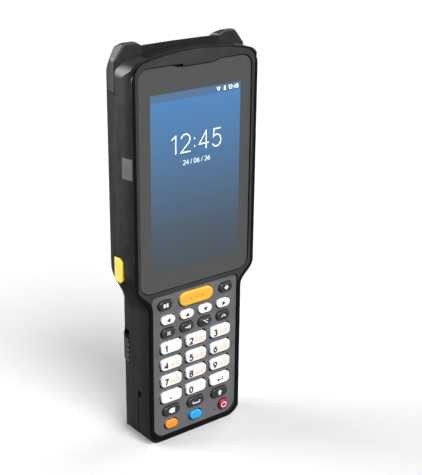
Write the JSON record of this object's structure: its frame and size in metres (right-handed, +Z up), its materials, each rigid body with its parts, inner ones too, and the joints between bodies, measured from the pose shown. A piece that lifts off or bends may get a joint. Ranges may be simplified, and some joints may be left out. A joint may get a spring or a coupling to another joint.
{
  "type": "portable barcode data terminal",
  "caption": "Upright handheld data terminal with a touch screen, a narrow keypad grip, side scan buttons, a scan window on top and a latched battery at the back.",
  "frame": {"origin": "middle of the bottom end, at the centre of the overall box", "axes": "+Z up the length towards the scan window, -Y out of the screen and keys, +X to the right of someone who looks at the screen"},
  "size_m": [0.0756, 0.034, 0.2022],
  "materials": {
    "housing_plastic": "fine moulded texture",
    "frame_plastic": "smooth satin",
    "keypad_plastic": "painted satin",
    "touch_glass": "hard touch panel over a lit display",
    "display": "display module case",
    "rubber": "moulded rubber",
    "circuit_board": "solder mask",
    "dark_window": "polished dark scan window",
    "light_pipe": "frosted translucent light pipe",
    "module_case": "plain case",
    "contact_brass": "plated",
    "screw_steel": "plain",
    "latch_plastic": "ribbed",
    "yellow_plastic": "satin",
    "white_key": "satin, printed digits",
    "dark_key": "satin, printed marks",
    "orange_key": "satin",
    "blue_key": "satin",
    "red_key": "satin"
  },
  "bodies": {
    "housing": {"front_housing": "housing_plastic", "front_frame": "frame_plastic", "touch_glass": "touch_glass", "display_module": "display", "keypad_plate": "keypad_plastic", "key_mat": "rubber", "keypad_board": "circuit_board", "back_housing": "housing_plastic", "bumper_left": "rubber", "bumper_right": "rubber", "scan_window": "dark_window", "scan_engine": "module_case", "status_light_left": "light_pipe", "status_light_right": "light_pipe", "main_board": "circuit_board", "loudspeaker": "module_case", "vibration_motor": "module_case", "radio_module": "module_case", "battery_contacts": "contact_brass", "dock_contacts": "contact_brass", "housing_screws": "screw_steel"},
    "battery": {"battery_pack": "housing_plastic", "battery_cell": "module_case", "latch_springs": "screw_steel"},
    "latch_left": {"battery_latch_left": "latch_plastic"},
    "latch_right": {"battery_latch_right": "latch_plastic"},
    "scan_left": {"scan_button_left": "yellow_plastic"},
    "scan_right": {"scan_button_right": "yellow_plastic"},
    "key_soft_left_cap": {"key_soft_left": "dark_key"},
    "key_scan_cap": {"key_scan": "yellow_plastic"},
    "key_soft_right_cap": {"key_soft_right": "dark_key"},
    "key_arrow_left_cap": {"key_arrow_left": "white_key"},
    "key_arrow_up_cap": {"key_arrow_up": "white_key"},
    "key_arrow_down_cap": {"key_arrow_down": "white_key"},
    "key_arrow_right_cap": {"key_arrow_right": "white_key"},
    "key_escape_cap": {"key_escape": "dark_key"},
    "key_tab_cap": {"key_tab": "dark_key"},
    "key_alt_cap": {"key_alt": "dark_key"},
    "key_control_cap": {"key_control": "dark_key"},
    "key_1_cap": {"key_1": "white_key"},
    "key_2_cap": {"key_2": "white_key"},
    "key_3_cap": {"key_3": "white_key"},
    "key_4_cap": {"key_4": "white_key"},
    "key_5_cap": {"key_5": "white_key"},
    "key_6_cap": {"key_6": "white_key"},
    "key_7_cap": {"key_7": "white_key"},
    "key_8_cap": {"key_8": "white_key"},
    "key_9_cap": {"key_9": "white_key"},
    "key_dot_cap": {"key_dot": "white_key"},
    "key_0_cap": {"key_0": "white_key"},
    "key_enter_cap": {"key_enter": "white_key"},
    "key_backspace_cap": {"key_backspace": "dark_key"},
    "key_space_cap": {"key_space": "dark_key"},
    "key_shift_cap": {"key_shift": "dark_key"},
    "key_orange_cap": {"key_orange": "orange_key"},
    "key_blue_cap": {"key_blue": "blue_key"},
    "key_power_cap": {"key_power": "red_key"}
  },
  "joints": [
    {"name": "battery_swing", "type": "hinge", "parent": "housing", "child": "battery", "pos_m": [0, 0.014, 0.0064], "axis": [-1, 0, 0], "range_deg": [0, 60]},
    {"name": "latch_left_press", "type": "slide", "parent": "battery", "child": "latch_left", "axis": [1, 0, 0], "range_m": [0, 0.0015], "stiffness_N_per_m": 900},
    {"name": "latch_right_press", "type": "slide", "parent": "battery", "child": "latch_right", "axis": [-1, 0, 0], "range_m": [0, 0.0015], "stiffness_N_per_m": 900},
    {"name": "scan_left_press", "type": "slide", "parent": "housing", "child": "scan_left", "axis": [1, 0, 0], "range_m": [0, 0.0008], "stiffness_N_per_m": 1500},
    {"name": "scan_right_press", "type": "slide", "parent": "housing", "child": "scan_right", "axis": [-1, 0, 0], "range_m": [0, 0.0008], "stiffness_N_per_m": 1500},
    {"name": "key_soft_left_press", "type": "slide", "parent": "housing", "child": "key_soft_left_cap", "axis": [0, 1, 0], "range_m": [0, 0.0008], "stiffness_N_per_m": 1200},
    {"name": "key_scan_press", "type": "slide", "parent": "housing", "child": "key_scan_cap", "axis": [0, 1, 0], "range_m": [0, 0.0008], "stiffness_N_per_m": 1200},
    {"name": "key_soft_right_press", "type": "slide", "parent": "housing", "child": "key_soft_right_cap", "axis": [0, 1, 0], "range_m": [0, 0.0008], "stiffness_N_per_m": 1200},
    {"name": "key_arrow_left_press", "type": "slide", "parent": "housing", "child": "key_arrow_left_cap", "axis": [0, 1, 0], "range_m": [0, 0.0008], "stiffness_N_per_m": 1200},
    {"name": "key_arrow_up_press", "type": "slide", "parent": "housing", "child": "key_arrow_up_cap", "axis": [0, 1, 0], "range_m": [0, 0.0008], "stiffness_N_per_m": 1200},
    {"name": "key_arrow_down_press", "type": "slide", "parent": "housing", "child": "key_arrow_down_cap", "axis": [0, 1, 0], "range_m": [0, 0.0008], "stiffness_N_per_m": 1200},
    {"name": "key_arrow_right_press", "type": "slide", "parent": "housing", "child": "key_arrow_right_cap", "axis": [0, 1, 0], "range_m": [0, 0.0008], "stiffness_N_per_m": 1200},
    {"name": "key_escape_press", "type": "slide", "parent": "housing", "child": "key_escape_cap", "axis": [0, 1, 0], "range_m": [0, 0.0008], "stiffness_N_per_m": 1200},
    {"name": "key_tab_press", "type": "slide", "parent": "housing", "child": "key_tab_cap", "axis": [0, 1, 0], "range_m": [0, 0.0008], "stiffness_N_per_m": 1200},
    {"name": "key_alt_press", "type": "slide", "parent": "housing", "child": "key_alt_cap", "axis": [0, 1, 0], "range_m": [0, 0.0008], "stiffness_N_per_m": 1200},
    {"name": "key_control_press", "type": "slide", "parent": "housing", "child": "key_control_cap", "axis": [0, 1, 0], "range_m": [0, 0.0008], "stiffness_N_per_m": 1200},
    {"name": "key_1_press", "type": "slide", "parent": "housing", "child": "key_1_cap", "axis": [0, 1, 0], "range_m": [0, 0.0008], "stiffness_N_per_m": 1200},
    {"name": "key_2_press", "type": "slide", "parent": "housing", "child": "key_2_cap", "axis": [0, 1, 0], "range_m": [0, 0.0008], "stiffness_N_per_m": 1200},
    {"name": "key_3_press", "type": "slide", "parent": "housing", "child": "key_3_cap", "axis": [0, 1, 0], "range_m": [0, 0.0008], "stiffness_N_per_m": 1200},
    {"name": "key_4_press", "type": "slide", "parent": "housing", "child": "key_4_cap", "axis": [0, 1, 0], "range_m": [0, 0.0008], "stiffness_N_per_m": 1200},
    {"name": "key_5_press", "type": "slide", "parent": "housing", "child": "key_5_cap", "axis": [0, 1, 0], "range_m": [0, 0.0008], "stiffness_N_per_m": 1200},
    {"name": "key_6_press", "type": "slide", "parent": "housing", "child": "key_6_cap", "axis": [0, 1, 0], "range_m": [0, 0.0008], "stiffness_N_per_m": 1200},
    {"name": "key_7_press", "type": "slide", "parent": "housing", "child": "key_7_cap", "axis": [0, 1, 0], "range_m": [0, 0.0008], "stiffness_N_per_m": 1200},
    {"name": "key_8_press", "type": "slide", "parent": "housing", "child": "key_8_cap", "axis": [0, 1, 0], "range_m": [0, 0.0008], "stiffness_N_per_m": 1200},
    {"name": "key_9_press", "type": "slide", "parent": "housing", "child": "key_9_cap", "axis": [0, 1, 0], "range_m": [0, 0.0008], "stiffness_N_per_m": 1200},
    {"name": "key_dot_press", "type": "slide", "parent": "housing", "child": "key_dot_cap", "axis": [0, 1, 0], "range_m": [0, 0.0008], "stiffness_N_per_m": 1200},
    {"name": "key_0_press", "type": "slide", "parent": "housing", "child": "key_0_cap", "axis": [0, 1, 0], "range_m": [0, 0.0008], "stiffness_N_per_m": 1200},
    {"name": "key_enter_press", "type": "slide", "parent": "housing", "child": "key_enter_cap", "axis": [0, 1, 0], "range_m": [0, 0.0008], "stiffness_N_per_m": 1200},
    {"name": "key_backspace_press", "type": "slide", "parent": "housing", "child": "key_backspace_cap", "axis": [0, 1, 0], "range_m": [0, 0.0008], "stiffness_N_per_m": 1200},
    {"name": "key_space_press", "type": "slide", "parent": "housing", "child": "key_space_cap", "axis": [0, 1, 0], "range_m": [0, 0.0008], "stiffness_N_per_m": 1200},
    {"name": "key_shift_press", "type": "slide", "parent": "housing", "child": "key_shift_cap", "axis": [0, 1, 0], "range_m": [0, 0.0008], "stiffness_N_per_m": 1200},
    {"name": "key_orange_press", "type": "slide", "parent": "housing", "child": "key_orange_cap", "axis": [0, 1, 0], "range_m": [0, 0.0008], "stiffness_N_per_m": 1200},
    {"name": "key_blue_press", "type": "slide", "parent": "housing", "child": "key_blue_cap", "axis": [0, 1, 0], "range_m": [0, 0.0008], "stiffness_N_per_m": 1200},
    {"name": "key_power_press", "type": "slide", "parent": "housing", "child": "key_power_cap", "axis": [0, 1, 0], "range_m": [0, 0.0008], "stiffness_N_per_m": 1200}
  ]
}
